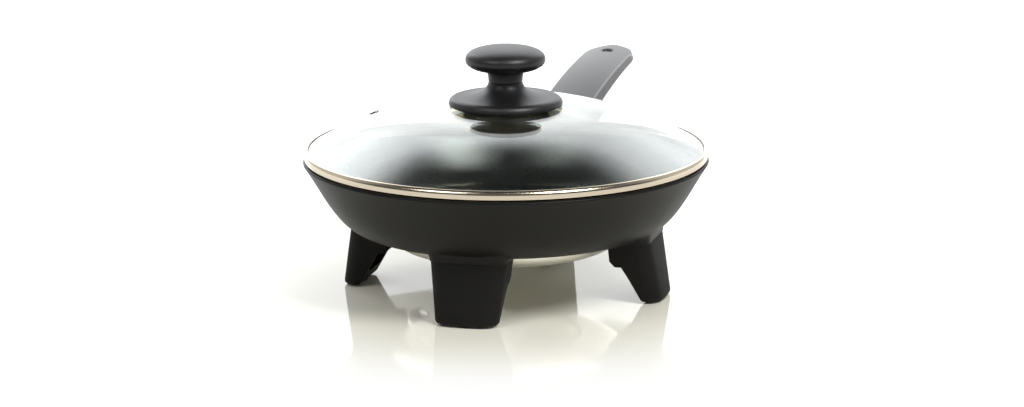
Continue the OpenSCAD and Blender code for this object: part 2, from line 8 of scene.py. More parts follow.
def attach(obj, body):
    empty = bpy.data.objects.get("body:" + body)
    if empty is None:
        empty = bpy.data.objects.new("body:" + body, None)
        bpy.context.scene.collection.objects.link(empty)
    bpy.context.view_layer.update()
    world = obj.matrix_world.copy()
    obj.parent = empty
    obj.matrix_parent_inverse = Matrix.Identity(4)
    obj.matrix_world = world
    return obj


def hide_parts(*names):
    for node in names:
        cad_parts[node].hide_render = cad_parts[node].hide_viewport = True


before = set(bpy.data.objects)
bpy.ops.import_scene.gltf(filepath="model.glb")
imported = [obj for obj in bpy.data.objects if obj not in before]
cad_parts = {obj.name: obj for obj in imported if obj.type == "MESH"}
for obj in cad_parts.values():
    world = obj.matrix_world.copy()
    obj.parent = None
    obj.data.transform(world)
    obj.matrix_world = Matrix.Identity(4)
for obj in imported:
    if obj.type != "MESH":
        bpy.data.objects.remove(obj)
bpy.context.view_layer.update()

# The pan: one aluminium casting with a flared wall, a rounded lip and a ledge inside for the lid.
# It is blasted and sprayed with a dark satin coat outside and a speckled non-stick coat inside.
# Four flared pads for the legs, a lug for the handle and three threaded studs are part of it.

X, Y, Z = range(3)
MM, WELD, CREASE = 0.001, 0.0005, 0.55
RIM_R, RIM_Z = 115.0, 76.5
SOLE_R, SOLE_Z = 79.0, 37.0
FLOOR_Z, FLOOR_T, LIP_T = 41.5, 4.5, 3.4
SEAT_Z, SEAT_IN_R, LIP_IN_R = 72.9, 109.5, 111.6
LEG_TOP_Z, PLATE_R = 35.0, 68.0
QUARTERS = [i * math.pi / 2 for i in range(4)]
WALL_STEPS = 26
wall_top = Vector((RIM_R, RIM_Z - 1.2))
wall_slope = math.radians(56)
wall_poles = [
    Vector((SOLE_R, SOLE_Z)),
    Vector((SOLE_R + 17, SOLE_Z)),
    wall_top - 20 * Vector((math.cos(wall_slope), math.sin(wall_slope))),
    wall_top,
]


def wall_at(t):
    """Point of the outer wall, from the flat underside at 0 to the lip at 1."""
    a, b, c, d = wall_poles
    return (1 - t) ** 3 * a + 3 * t * (1 - t) ** 2 * b + 3 * t * t * (1 - t) * c + t ** 3 * d


def wall_inside(t):
    """Point of the cooking surface opposite wall_at(t)."""
    way = (wall_at(t + 0.001) - wall_at(t - 0.001)).normalized()
    return wall_at(t) + (FLOOR_T + (LIP_T - FLOOR_T) * t) * Vector((-way.y, way.x))


def wall_where(value, axis):
    """Point of the outer wall at one radius (axis 0) or one height (axis 1)."""
    low, high = 0.0, 1.0
    for _ in range(30):
        middle = (low + high) / 2
        if wall_at(middle)[axis] < value:
            low = middle
        else:
            high = middle
    return wall_at(low)


def turned(bm, outline, steps, closed=False):
    """Spins an outline of (radius, height) points once round the Z axis."""
    verts = [bm.verts.new((r, 0, z)) for r, z in outline]
    following = verts[1:] + verts[:1] if closed else verts[1:]
    edges = [bm.edges.new(pair) for pair in zip(verts, following)]
    bmesh.ops.spin(bm, geom=verts + edges, cent=(0, 0, 0), axis=(0, 0, 1), dvec=(0, 0, 0),
                   angle=2 * math.pi, steps=steps, use_merge=True)
    bmesh.ops.remove_doubles(bm, verts=bm.verts, dist=WELD)


def block(size, middle):
    """A closed box of one size round its middle."""
    bm = bmesh.new()
    bmesh.ops.create_cube(bm, size=1,
                          matrix=Matrix.Translation(middle) @ Matrix.Diagonal((*size, 1)))
    return bm


def shifted(bm, x, y, z):
    bmesh.ops.translate(bm, verts=bm.verts, vec=(x, y, z))


def swung(bm, angle, axis="Z"):
    """Turns a shape about one axis of the frame."""
    bmesh.ops.rotate(bm, cent=(0, 0, 0), matrix=Matrix.Rotation(angle, 3, axis), verts=bm.verts)


def span(edge, axis):
    """How far an edge reaches along one axis."""
    return abs(edge.verts[0].co[axis] - edge.verts[1].co[axis])


def hoops(bm, r, z):
    """The edges of a turned piece that lie on the circle of one radius and height."""
    near = 0.02
    return [e for e in bm.edges
            if all(abs(v.co.xy.length - r) < near and abs(v.co.z - z) < near for v in e.verts)]


def soften(bm, edges, width, segments):
    """Rounds edges off, as a casting or a moulding has them."""
    bmesh.ops.bevel(bm, geom=edges, offset=width, offset_type="OFFSET", affect="EDGES",
                    segments=segments, profile=0.5, material=-1, clamp_overlap=True)


def joined(bm, other):
    """Adds the faces of one bmesh to another."""
    mesh = bpy.data.meshes.new("joined")
    other.to_mesh(mesh)
    other.free()
    bm.from_mesh(mesh)
    bpy.data.meshes.remove(mesh)


def put(bm, name, body, slot, nodes, *materials):
    """Makes a finished piece in metres, riding on its body in place of its CAD nodes."""
    bmesh.ops.remove_doubles(bm, verts=bm.verts, dist=2 * WELD)
    bmesh.ops.dissolve_degenerate(bm, edges=bm.edges, dist=2 * WELD)
    bmesh.ops.scale(bm, vec=(MM, MM, MM), verts=bm.verts)
    bmesh.ops.recalc_face_normals(bm, faces=bm.faces)
    for face in bm.faces:
        face.smooth = True
    for edge in bm.edges:
        edge.smooth = edge.calc_face_angle(0) < CREASE
    mesh = bpy.data.meshes.new(name)
    bm.to_mesh(mesh)
    bm.free()
    for material in materials:
        mesh.materials.append(material)
    piece = bpy.data.objects.new(name, mesh)
    bpy.context.scene.collection.objects.link(piece)
    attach(piece, body)
    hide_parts(*nodes)


class Tone:
    """A socket of a material. Sums and products of tones add their Math nodes."""

    def __init__(self, tree, socket):
        self.tree, self.socket = tree, socket

    def node(self, kind, settings, sockets, out=0):
        """Adds any node: its settings first, then the values or links of its sockets."""
        made = self.tree.nodes.new("ShaderNode" + kind)
        for key, value in settings.items():
            setattr(made, key, value)
        for key, value in sockets.items():
            if isinstance(value, Tone):
                self.tree.links.new(value.socket, made.inputs[key])
            else:
                made.inputs[key].default_value = value
        return Tone(self.tree, made.outputs[out]) if made.outputs else made

    def math(self, operation, a, b=0.0):
        return self.node("Math", {"operation": operation}, {0: a, 1: b})

    def __add__(self, other):
        return self.math("ADD", self, other)

    __radd__ = __add__

    def __mul__(self, other):
        return self.math("MULTIPLY", self, other)

    __rmul__ = __mul__

    def __sub__(self, other):
        return self.math("SUBTRACT", self, other)

    def __rsub__(self, other):
        return self.math("SUBTRACT", other, self)

    def noise(self, scale, detail=3.0, roughness=0.55, stretch=(1, 1, 1)):
        """Soft random values, as many to the metre as scale says."""
        place = self.node("Mapping", {}, {"Vector": self, "Scale": stretch})
        return self.node("TexNoise", {}, {"Vector": place, "Scale": scale, "Detail": detail,
                                          "Roughness": roughness})

    def lines(self, scale, detail, roughness):
        """Random values that change along this one value only, as fine rings or lines."""
        return self.node("TexNoise", {"noise_dimensions": "1D"},
                         {"W": self, "Scale": scale, "Detail": detail, "Roughness": roughness})

    def between(self, low, high):
        """0 below low, 1 above high and smooth between."""
        return self.node("MapRange", {"interpolation_type": "SMOOTHSTEP"},
                         {"Value": self, "From Min": low, "From Max": high})

    def blend(self, a, b):
        """Colour a where this is 0 and b where it is 1."""
        return self.node("Mix", {"data_type": "RGBA"}, {0: self, 6: a, 7: b}, out=2)

    def bump(self, strength, distance):
        return self.node("Bump", {}, {"Strength": strength, "Distance": distance, "Height": self})

    def axis(self, name):
        return self.node("SeparateXYZ", {}, {0: self}, out="XYZ".index(name))

    def radius(self):
        """Distance from the Z axis."""
        flat = self.node("VectorMath", {"operation": "MULTIPLY"}, {0: self, 1: (1, 1, 0)})
        return self.node("VectorMath", {"operation": "LENGTH"}, {0: flat}, out=1)


def finish(name, look):
    """A material whose shader takes the sockets that look gives for a place on the piece."""
    material = bpy.data.materials.new(name)
    material.use_nodes = True
    tree = material.node_tree
    tree.nodes.clear()
    place = Tone(tree, tree.nodes.new("ShaderNodeTexCoord").outputs["Object"])
    shader = place.node("BsdfPrincipled", {}, look(place))
    place.node("OutputMaterial", {}, {"Surface": shader})
    return material


def grey(value, warmth=0.0):
    return (value * (1 + warmth), value, value * (1 - warmth), 1)


def sprayed_coat(place):
    mist = place.noise(2600, 2.0)
    clouds = place.noise(35, 4.0)
    wear = place.axis("Z").between(0.0762, 0.0772)
    return {
        "Base Color": (clouds * 0.6 + mist * 0.4).blend(grey(0.004, 0.05), grey(0.009, 0.05)),
        "Roughness": 0.38 + clouds * 0.12 - wear * 0.08,
        "Specular IOR Level": 0.17,
        "Normal": (mist + place.noise(700, 2.0) * 0.6).bump(0.22, 0.00008),
    }


def nonstick_coat(place):
    grain = place.noise(1000, 2.0)
    fleck = place.node("TexVoronoi", {"feature": "F1"}, {"Vector": place, "Scale": 1150.0}, out=1)
    sparkle = place.node("SeparateColor", {}, {0: fleck}).between(0.9, 0.98)
    clouds = place.noise(28, 3.0)
    return {
        "Base Color": sparkle.blend((0.008, 0.009, 0.008, 1), (0.14, 0.15, 0.135, 1)),
        "Metallic": sparkle * 0.6,
        "Roughness": 0.28 + clouds * 0.09 - sparkle * 0.10,
        "Specular IOR Level": 1.0,
        "Normal": (grain + sparkle * 0.5).bump(0.40, 0.00014),
    }


coat_outside = finish("satin_pan_coat", sprayed_coat)
coat_inside = finish("speckled_nonstick_coat", nonstick_coat)

pan = bmesh.new()
outside = [tuple(wall_at(i / WALL_STEPS)) for i in range(WALL_STEPS + 1)]
facing = [wall_inside(i / WALL_STEPS) for i in range(WALL_STEPS, -1, -1)]
inside = [tuple(p) for p in facing if p.y < SEAT_Z - 0.3]
lip = [(RIM_R, RIM_Z), (LIP_IN_R, RIM_Z), (LIP_IN_R, SEAT_Z), (SEAT_IN_R, SEAT_Z)]
underside, cooking_floor = [(0, SOLE_Z), (40, SOLE_Z)], [(50, FLOOR_Z), (0, FLOOR_Z)]
turned(pan, underside + outside + lip + inside + cooking_floor, steps=180)
soften(pan, hoops(pan, RIM_R, RIM_Z), 1.1, 5)
soften(pan, hoops(pan, LIP_IN_R, RIM_Z), 0.7, 3)
for face in pan.faces:
    middle = face.calc_center_median()
    deep = middle.xy.length < wall_where(middle.z, 1).x - 2
    face.material_index = 1 if deep and FLOOR_Z - 0.5 < middle.z < RIM_Z - 0.8 else 0

PAD_X, PAD_D, PAD_W, PAD_CORNER, PAD_FLARE = 75.75, 24, 44, 6.5, 3.2
PLATE_GAP = 0.4
PLATE_WAY_R = PLATE_R + PLATE_GAP


def leg_pad():
    """One cast pad under the wall, on +X, flared into the bowl and cut back round the plate."""
    bm = block((PAD_D, PAD_W, 1), (PAD_X, 0, 0.5))
    soften(bm, [e for e in bm.edges if span(e, Z) > 0.5], PAD_CORNER, 7)
    bmesh.ops.subdivide_edges(bm, edges=[e for e in bm.edges if span(e, Z) > 0.5], cuts=7)
    bmesh.ops.bisect_plane(bm, geom=bm.verts[:] + bm.edges[:] + bm.faces[:],
                           plane_co=(70, 0, 0), plane_no=(1, 0, 0))
    for v in bm.verts:
        rise = v.co.z
        out = Vector((max(v.co.x - PAD_X, 0), v.co.y))
        if out.length:
            flare = PAD_FLARE * (1 - math.sqrt(max(0.0, 1 - rise ** 2.2)))
            out = out.normalized() * flare
        x, y = v.co.x + out.x, v.co.y + out.y
        if math.hypot(x, y) < PLATE_WAY_R:
            x = math.sqrt(PLATE_WAY_R ** 2 - y * y)
        top = wall_where(math.hypot(x, y), 0).y + 0.9
        v.co = (x, y, LEG_TOP_Z + rise * (top - LEG_TOP_Z))
    soften(bm, [e for e in bm.edges if all(abs(v.co.z - LEG_TOP_Z) < 0.01 for v in e.verts)
                and e.calc_face_angle(0) > 0.5], 0.5, 2)
    return bm


for quarter in QUARTERS:
    pad = leg_pad()
    swung(pad, quarter)
    joined(pan, pad)

LUG_END_Y, GRIP_HALF = 123.0, 14.6
lug = block((1, 1, 1), (0, 0.5, 0.5))
for v in lug.verts:
    at_end = v.co.y > 0.5
    half, low, high = (GRIP_HALF, 62.0, 74.0) if at_end else (20.6, 56.0, 71.0)
    height = high if v.co.z > 0.5 else low
    v.co = (math.copysign(half, v.co.x), LUG_END_Y if at_end else 0.0, height)
bmesh.ops.subdivide_edges(lug, edges=[e for e in lug.edges if span(e, X) > 10], cuts=9)
bmesh.ops.subdivide_edges(lug, edges=[e for e in lug.edges if span(e, Y) > 10], cuts=5)
for v in lug.verts:
    start = math.sqrt(max(0, (wall_where(v.co.z, 1).x - 1.2) ** 2 - v.co.x ** 2))
    v.co.y = start + (LUG_END_Y - start) * v.co.y / LUG_END_Y
    sweep = (LUG_END_Y - v.co.y) / 28
    v.co.x *= 1 + 0.10 * max(0, sweep) ** 2
soften(lug, [e for e in lug.edges if e.calc_face_angle(0) > 0.8
             and all(v.co.y > 100 for v in e.verts)], 2.2, 4)
joined(pan, lug)

STUD_RHO, STUD_R, STUD_CORE_R, STUD_TOP_Z, STUD_PITCH = 24, 2.0, 1.75, 37.4, 0.26
stud_turns = [math.radians(90 + 120 * i) for i in range(3)]
stud_spots = [(STUD_RHO * math.cos(a), STUD_RHO * math.sin(a)) for a in stud_turns]
for x, y in stud_spots:
    stud = bmesh.new()
    thread = [(STUD_R if i % 2 else STUD_CORE_R, STUD_TOP_Z - i * STUD_PITCH) for i in range(37)]
    turned(stud, [(0, STUD_TOP_Z)] + thread + [(1.3, 27.4), (0, 27.2)], steps=20)
    shifted(stud, x, y, 0)
    joined(pan, stud)

put(pan, "pan", "skillet", "pan_coating", ["pan_body"], coat_outside, coat_inside)

# The heat plate: a bare aluminium casting drawn up against the pan's underside by three nuts. Its
# lower face is turned on a lathe, which leaves fine rings; the raised ring holds the element, and a
# rib across it holds the probe sleeve of the plug-in control.

INLET = math.radians(135)
RING_FLAT_R, RING_Z, LOOP_Z, WELL_Z = 51.0, 25.5, 31.25, 31


def arc(middle, reach, start, step, count):
    """Outline points round a middle at two reaches, every step degrees from start."""
    turns = [math.radians(start + step * i) for i in range(count)]
    return [(middle[0] + reach[0] * math.cos(a), middle[1] + reach[1] * math.sin(a))
            for a in turns]


def lathe_marks(place):
    rings = place.radius().lines(1900.0, 4.0, 0.7)
    clouds = place.noise(40, 3.0)
    tint = place.noise(18, 2.0).between(0.45, 0.75)
    return {
        "Base Color": tint.blend((0.93, 0.915, 0.86, 1), (0.86, 0.83, 0.75, 1)),
        "Metallic": 1.0,
        "Roughness": 0.24 + rings * 0.16 + clouds * 0.10,
        "Normal": (rings + clouds * 0.2).bump(0.25, 0.00012),
    }


turned_aluminium = finish("lathe_turned_aluminium", lathe_marks)
plate = bmesh.new()
side = arc((RING_FLAT_R, SOLE_Z), (PLATE_R - RING_FLAT_R, RING_Z - SOLE_Z), 0, 4.5, 21)
hollow = arc((43, WELL_Z), (-4, RING_Z - WELL_Z), 90, -9, 11)
turned(plate, [(0, SOLE_Z)] + side + hollow + [(37, WELL_Z), (20, WELL_Z), (0, WELL_Z)], steps=128)
soften(plate, hoops(plate, RING_FLAT_R, RING_Z), 0.6, 2)


def into_inlet(bm, x, y):
    """Turns a piece made along Z to run out along the inlet, from x out and y across."""
    swung(bm, math.pi / 2, "Y")
    shifted(bm, x, y, LOOP_Z)
    swung(bm, INLET)


rib = bmesh.new()
turned(rib, [(0, 0), (5, 0), (5.75, 0.8), (5.75, 26), (0, 26)], steps=36)
into_inlet(rib, 33, 0)
joined(plate, rib)
put(plate, "heat_plate_turned", "skillet", "bare_aluminium", ["heat_plate"], turned_aluminium)

# The element: a sheathed resistance wire bent to a loop and cast into the ring. Only its two ends
# show, dulled and straw-coloured by heat, where they leave the ring beside the probe sleeve.


def heat_dulled(place):
    clouds = place.noise(220, 4.0)
    straw = place.noise(60, 2.0).between(0.4, 0.7)
    return {
        "Base Color": straw.blend((0.30, 0.29, 0.28, 1), (0.34, 0.28, 0.20, 1)),
        "Metallic": 0.85,
        "Roughness": 0.42 + clouds * 0.2,
        "Normal": clouds.bump(0.3, 0.00006),
    }


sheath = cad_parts["heating_element"]
sheath.data.materials.clear()
sheath.data.materials.append(finish("heat_dulled_sheath", heat_dulled))

# The inlet: two nickel-plated pins in glazed ceramic collars, and between them the closed tube that
# takes the control's sensing rod. A lip is rolled on the tube's mouth.


def nickel_plate(place):
    clouds = place.noise(150, 4.0)
    scuff = place.noise(900, 2.0, stretch=(1, 1, 0.25))
    return {
        "Base Color": clouds.blend((0.66, 0.655, 0.64, 1), (0.76, 0.75, 0.73, 1)),
        "Metallic": 1.0,
        "Roughness": 0.18 + clouds * 0.12 + scuff * 0.10,
        "Normal": scuff.bump(0.12, 0.00005),
    }


def glazed_ceramic(place):
    clouds = place.noise(300, 3.0)
    pits = clouds.between(0.35, 0.8)
    return {
        "Base Color": pits.blend((0.84, 0.82, 0.76, 1), (0.74, 0.71, 0.64, 1)),
        "Roughness": 0.18 + clouds * 0.15,
        "Coat Weight": 0.3,
        "Normal": clouds.bump(0.1, 0.0001),
    }


plated_steel = finish("nickel_plated_steel", nickel_plate)
ceramic = finish("glazed_ceramic", glazed_ceramic)
PIN_ASIDE, PIN_R, PIN_BORE_R = 18, 2.4, 2.05
pins, collars = bmesh.new(), bmesh.new()
for y in (-PIN_ASIDE, PIN_ASIDE):
    pin = bmesh.new()
    tip = arc((PIN_R / 2, 31.6), (PIN_R / 2, 2.4), 0, 15, 7)
    turned(pin, [(0, 0), (2.0, 0), (2.0, 10), (PIN_R, 10.2)] + tip + [(0, 34)], steps=28)
    into_inlet(pin, 69, y)
    joined(pins, pin)
    collar = bmesh.new()
    turned(collar, [(PIN_BORE_R, 0), (3.9, 0), (4.2, 0.3), (4.1, 1.6), (3.5, 3.6), (3.2, 4),
                    (PIN_BORE_R, 4)], closed=True, steps=32)
    into_inlet(collar, 75, y)
    joined(collars, collar)
put(pins, "plug_pins", "skillet", "bright_steel", ["terminal_pins"], plated_steel)
put(collars, "ceramic_collars", "skillet", "white_ceramic", ["pin_insulators"], ceramic)

TUBE_R, TUBE_IN_R = 4.4, 3.3
tube = bmesh.new()
rolled_mouth = [(5.1, 48.7), (5.2, 49.2), (5.0, 49.8), (4.6, 50), (3.6, 50)]
turned(tube, [(0, 0), (3.9, 0), (TUBE_R, 0.5), (TUBE_R, 48.5)] + rolled_mouth
       + [(TUBE_IN_R, 49.7), (TUBE_IN_R, 1.5), (0, 1.5)], steps=36)
into_inlet(tube, 37, 0)
put(tube, "probe_tube", "skillet", "bright_steel", ["probe_sleeve"], plated_steel)

# The guard: a pressed steel tray under the pins, bent up at both cheeks and open where the plug
# goes in. Its narrow flange lies flat against the ring and two screws hold it.


def pressed_sheet(place):
    clouds = place.noise(60, 4.0)
    grain = place.noise(700, 3.0, stretch=(1, 0.12, 1))
    return {
        "Base Color": clouds.blend((0.60, 0.595, 0.585, 1), (0.71, 0.705, 0.69, 1)),
        "Metallic": 1.0,
        "Roughness": 0.24 + grain * 0.14 + clouds * 0.08,
        "Normal": (grain + clouds * 0.3).bump(0.18, 0.00008),
    }


def verts_of(geometry):
    return [g for g in geometry if isinstance(g, bmesh.types.BMVert)]


def nipped(bm, verts, width, segments):
    """Rounds the corners of a flat sheet."""
    bmesh.ops.bevel(bm, geom=verts, offset=width, offset_type="OFFSET", affect="VERTICES",
                    segments=segments, profile=0.5, material=-1)


sheet_steel = finish("pressed_sheet_steel", pressed_sheet)
GUARD_T, CHEEK_H = 1.2, 11.8
TRAY_X, TRAY_HALF_L, TRAY_HALF_W = 88, 16.5, 30.4
guard = bmesh.new()
bmesh.ops.create_grid(guard, x_segments=1, y_segments=1, size=1,
                      matrix=Matrix.Translation((TRAY_X, 0, RING_Z - GUARD_T / 2))
                      @ Matrix.Diagonal((TRAY_HALF_L, TRAY_HALF_W, 1, 1)))
cheeks = [e for e in guard.edges if span(e, Y) < 0.1]
risen = bmesh.ops.extrude_edge_only(guard, edges=cheeks)["geom"]
bmesh.ops.translate(guard, verts=verts_of(risen), vec=(0, 0, CHEEK_H))
neck = [e for e in guard.edges if all(v.co.x < 73 and v.co.z < 26 for v in e.verts)]
for reach, half in ((68, 18), (45, 16)):
    pulled = bmesh.ops.extrude_edge_only(guard, edges=neck)["geom"]
    for v in verts_of(pulled):
        v.co.x, v.co.y = reach, math.copysign(half, v.co.y)
    neck = [g for g in pulled if isinstance(g, bmesh.types.BMEdge)
            and all(v.co.x == reach for v in g.verts)]
nipped(guard, [v for v in guard.verts if v.co.x > 100 and v.co.z > 30], 6, 6)
nipped(guard, [v for v in guard.verts if v.co.x < 47], 3, 4)
soften(guard, [e for e in guard.edges if e.calc_face_angle(0) > 1], 2.0, 4)
bmesh.ops.recalc_face_normals(guard, faces=guard.faces)
bmesh.ops.solidify(guard, geom=guard.faces[:], thickness=GUARD_T)
lowest = min(v.co.z for v in guard.verts)
shifted(guard, 0, 0, RING_Z - GUARD_T - lowest)
swung(guard, INLET)
put(guard, "inlet_guard", "skillet", "sheet_steel", ["socket_guard"], sheet_steel)

# Screws and nuts: plated steel, with a rolled thread and a cross recess in each pan head. Two screws
# hold the guard, one goes up through each leg, and three nuts hold the plate on its studs.
# The handle's screw and the knob's are made the same way, further down.


def carved(bm, cutter):
    """What is left of one closed shape when another is cut out of it."""
    objects = []
    for shape in (bm, cutter):
        bmesh.ops.recalc_face_normals(shape, faces=shape.faces)
        mesh = bpy.data.meshes.new("carving")
        shape.to_mesh(mesh)
        shape.free()
        objects.append(bpy.data.objects.new("carving", mesh))
        bpy.context.scene.collection.objects.link(objects[-1])
    left, tool = objects
    knife = left.modifiers.new("knife", "BOOLEAN")
    knife.operation, knife.solver, knife.object = "DIFFERENCE", "EXACT", tool
    result = bmesh.new()
    result.from_object(left, bpy.context.evaluated_depsgraph_get())
    for o in objects:
        mesh = o.data
        bpy.data.objects.remove(o)
        bpy.data.meshes.remove(mesh)
    return result


def drill(r, low, high, steps):
    """A plain round cutter along the Z axis."""
    bm = bmesh.new()
    turned(bm, [(0, low), (r, low), (r, high), (0, high)], steps=steps)
    return bm


def pan_head_screw(head_r, head_h, shank_r, length):
    """A screw pointing up, with its head's bearing face at z = 0 and a cross recess below."""
    bm = bmesh.new()
    pitch = 0.35
    dome = arc((0, -0.45 * head_h), (head_r, -0.55 * head_h), 75, -15, 6)
    thread = [(shank_r if i % 2 else shank_r * 0.86, 0.4 + i * pitch)
              for i in range(int((length - 1) / pitch))]
    turned(bm, [(0, -head_h)] + dome + [(head_r, 0), (shank_r, 0)] + thread
           + [(shank_r * 0.5, length), (0, length)], steps=32)
    for turn in QUARTERS[:2]:
        arm = block((head_r * 1.15, head_r * 0.26, head_h * 1.1), (0, 0, -head_h))
        swung(arm, turn)
        for v in arm.verts:
            if v.co.z > -head_h:
                v.co.xy *= 0.55
        bm = carved(bm, arm)
    return bm


LEG_SCREW_X, LEG_SCREW_Z = 72.5, 24
NUT_R, NUT_H, NUT_Z = 4, 3.2, 29.4
guard_screws, leg_screws, plate_nuts = bmesh.new(), bmesh.new(), bmesh.new()
for y in (-9, 9):
    one = pan_head_screw(head_r=3.1, head_h=1.8, shank_r=1.7, length=5.2)
    shifted(one, 48, y, RING_Z - GUARD_T)
    swung(one, INLET)
    joined(guard_screws, one)
for quarter in QUARTERS:
    one = pan_head_screw(head_r=4.0, head_h=2.4, shank_r=2.0, length=15.5)
    shifted(one, LEG_SCREW_X, 0, LEG_SCREW_Z)
    swung(one, quarter)
    joined(leg_screws, one)
for x, y in stud_spots:
    nut = bmesh.new()
    bmesh.ops.create_cone(nut, cap_ends=True, segments=6, radius1=NUT_R, radius2=NUT_R,
                          depth=NUT_H)
    chamfer = bmesh.new()
    turned(chamfer, [(3.5, -1.7), (5, -1.7), (5, -0.8)], closed=True, steps=48)
    nut = carved(nut, chamfer)
    nut = carved(nut, drill(2.05, -3, 3, 24))
    shifted(nut, x, y, NUT_Z)
    joined(plate_nuts, nut)
put(guard_screws, "guard_screw_pair", "skillet", "bright_steel", ["guard_screws"], plated_steel)
put(leg_screws, "leg_screw_set", "skillet", "bright_steel", ["leg_screws"], plated_steel)
put(plate_nuts, "plate_nut_set", "skillet", "bright_steel", ["plate_nuts"], plated_steel)

# The legs: black phenolic mouldings, broad at the top and drawn in towards the foot, with a bracket
# behind that hugs the heat plate. The outer face is bowed towards the foot and the inner side is
# hollow. One screw from below holds each leg to its pad.


def moulded_black(place):
    skin = place.noise(1700, 3.0, 0.6)
    flow = place.noise(22, 3.0)
    rub = place.noise(120, 4.0).between(0.56, 0.75)
    return {
        "Base Color": (flow * 0.7 + skin * 0.3).blend(grey(0.004, 0.04), grey(0.009, 0.04)),
        "Roughness": 0.61 + skin * 0.12 - rub * 0.06,
        "Specular IOR Level": 0.2,
        "Normal": (skin + flow * 0.15).bump(0.25, 0.00007),
    }


black_phenolic = finish("black_phenolic", moulded_black)
FOOT_Z, FOOT_W, LEG_TOP_W = 1, 36, 44
LEG_H = LEG_TOP_Z - FOOT_Z
LEG_OUT_TOP, LEG_LEAN = 87.75, 6.58
BOW, BOW_FROM_X = 2.0, 81
BRACKET_OUT_X, BRACKET_STEP = 72, 0.5
SCREW_WAY_R = 4.2


def moulded_leg():
    """The leg on +X: its side outline drawn out across its width, tapered, bowed and hollowed."""
    bm = bmesh.new()
    bracket = [(63.75, LEG_TOP_Z), (64.6, 24), (67.2, 21), (71.65, 21)]
    shank = [(82.94, FOOT_Z), (LEG_OUT_TOP + LEG_LEAN, FOOT_Z), (LEG_OUT_TOP, LEG_TOP_Z)]
    face = bm.faces.new([bm.verts.new((x, -1, z)) for x, z in bracket + shank])
    across = bmesh.ops.extrude_face_region(bm, geom=[face])["geom"]
    bmesh.ops.translate(bm, verts=verts_of(across), vec=(0, 2, 0))
    for v in bm.verts:
        half = (FOOT_W + (LEG_TOP_W - FOOT_W) * (v.co.z - FOOT_Z) / LEG_H) / 2
        if v.co.x < BRACKET_OUT_X:
            half -= BRACKET_STEP
        v.co.y = math.copysign(half, v.co.y)
    bmesh.ops.recalc_face_normals(bm, faces=bm.faces)

    def long_edges(low_x, high_x):
        return [e for e in bm.edges if span(e, Y) < 6 and span(e, Z) > 2
                and all(low_x < v.co.x < high_x for v in e.verts)]

    soften(bm, long_edges(87, 95), 8, 8)
    soften(bm, long_edges(63, 84), 2.6, 4)
    soften(bm, [e for e in bm.edges if all(v.co.z < FOOT_Z + 0.01 for v in e.verts)], 2.8, 5)
    soften(bm, [e for e in bm.edges if span(e, Y) > 20
                and all(v.co.z < 30 and v.co.x < 75 for v in e.verts)], 1.2, 3)
    front = [e for e in bm.edges if span(e, Y) > 12 and all(v.co.x > 84.5 for v in e.verts)]
    bmesh.ops.subdivide_edges(bm, edges=front, cuts=5)
    for v in bm.verts:
        drop = (LEG_TOP_Z - v.co.z) / LEG_H
        depth = (v.co.x - BOW_FROM_X) / (LEG_OUT_TOP - BOW_FROM_X + LEG_LEAN * drop)
        v.co.x -= max(depth, 0) * BOW * drop * (2 * v.co.y / FOOT_W) ** 2
    scoop = bmesh.new()
    above, low = SOLE_Z + 2, RING_Z - PLATE_GAP
    ring = arc((RING_FLAT_R, SOLE_Z), (PLATE_WAY_R - RING_FLAT_R, low - SOLE_Z), 0, 6, 16)
    turned(scoop, [(0, above), (PLATE_WAY_R, above)] + ring + [(0, low)], steps=128)
    bm = carved(bm, scoop)
    pocket = block((20, 26, 11), (77.5, 0, 13.5))
    soften(pocket, pocket.edges[:], 1.6, 3)
    bm = carved(bm, pocket)
    driver_way = drill(SCREW_WAY_R, 0, LEG_SCREW_Z - FOOT_Z, 32)
    shifted(driver_way, LEG_SCREW_X, 0, FOOT_Z)
    return carved(bm, driver_way)


for quarter, name in zip(QUARTERS, ("right", "rear", "left", "front")):
    leg = moulded_leg()
    swung(leg, quarter)
    put(leg, "moulded_leg_" + name, "skillet", "black_phenolic", ["leg_" + name], black_phenolic)

# The feet: round pads of soft black rubber, with fine grooves underneath against sliding. Each is
# moulded with a peg, which is pushed into a hole in its leg.


def foot_rubber(place):
    skin = place.noise(2200, 3.0)
    dust = place.axis("Z").between(0.0, 0.0012)
    return {
        "Base Color": dust.blend(grey(0.055, 0.05), grey(0.022)),
        "Roughness": 0.62 + skin * 0.2,
        "Specular IOR Level": 0.3,
        "Normal": skin.bump(0.3, 0.00008),
    }


black_rubber = finish("foot_rubber", foot_rubber)
FOOT_RHO, GROOVE = 87.5, 0.25
grooves = [(0, GROOVE), (1.4, GROOVE), (1.6, 0), (2.4, 0), (2.6, GROOVE), (2.9, GROOVE), (3.1, 0)]
tread_and_peg = [(3.8, 0), (4.3, 0.3), (4.5, 1), (2.5, 1), (2.5, 6.2), (2.2, 6.5), (0, 6.5)]
feet = bmesh.new()
for quarter in QUARTERS:
    foot = bmesh.new()
    turned(foot, grooves + tread_and_peg, steps=36)
    shifted(foot, FOOT_RHO, 0, 0)
    swung(foot, quarter)
    joined(feet, foot)
put(feet, "rubber_feet", "skillet", "black_rubber", ["foot_pads"], black_rubber)

# The handle: a long arched phenolic moulding, dark grey and matte, pushed over the lug's tenon. Its
# top is gently crowned between two crisp edges, its sides lean out and its belly is round; a dished
# hanging hole goes through near the squared-off end.


